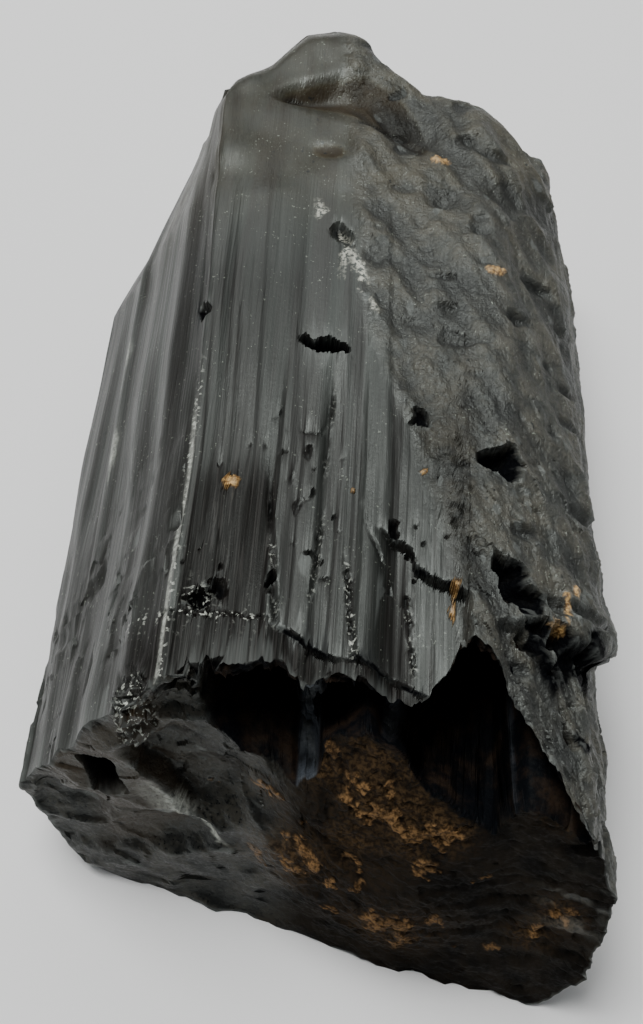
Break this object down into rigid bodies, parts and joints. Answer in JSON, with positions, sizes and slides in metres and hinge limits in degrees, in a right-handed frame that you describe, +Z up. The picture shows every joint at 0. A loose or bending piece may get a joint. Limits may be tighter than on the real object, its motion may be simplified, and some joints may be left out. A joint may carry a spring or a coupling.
{
  "type": "tourmaline crystal",
  "caption": "Black striated prism crystal, lying on one flat face, with a broken near end and a weathered far end; a mineral specimen for display",
  "frame": {"origin": "under the middle of the crystal, on the surface that it lies on", "axes": "+Y runs along the crystal from the broken near end to the far end, +X to the right seen from the near end, +Z up"},
  "size_m": [0.0423, 0.0781, 0.0262],
  "materials": {
    "tourmaline": "black, vitreous to satin, finely striated along its length, with brown iron stain on the broken end"
  },
  "bodies": {
    "root": {"tourmaline_crystal": "tourmaline"}
  },
  "joints": []
}
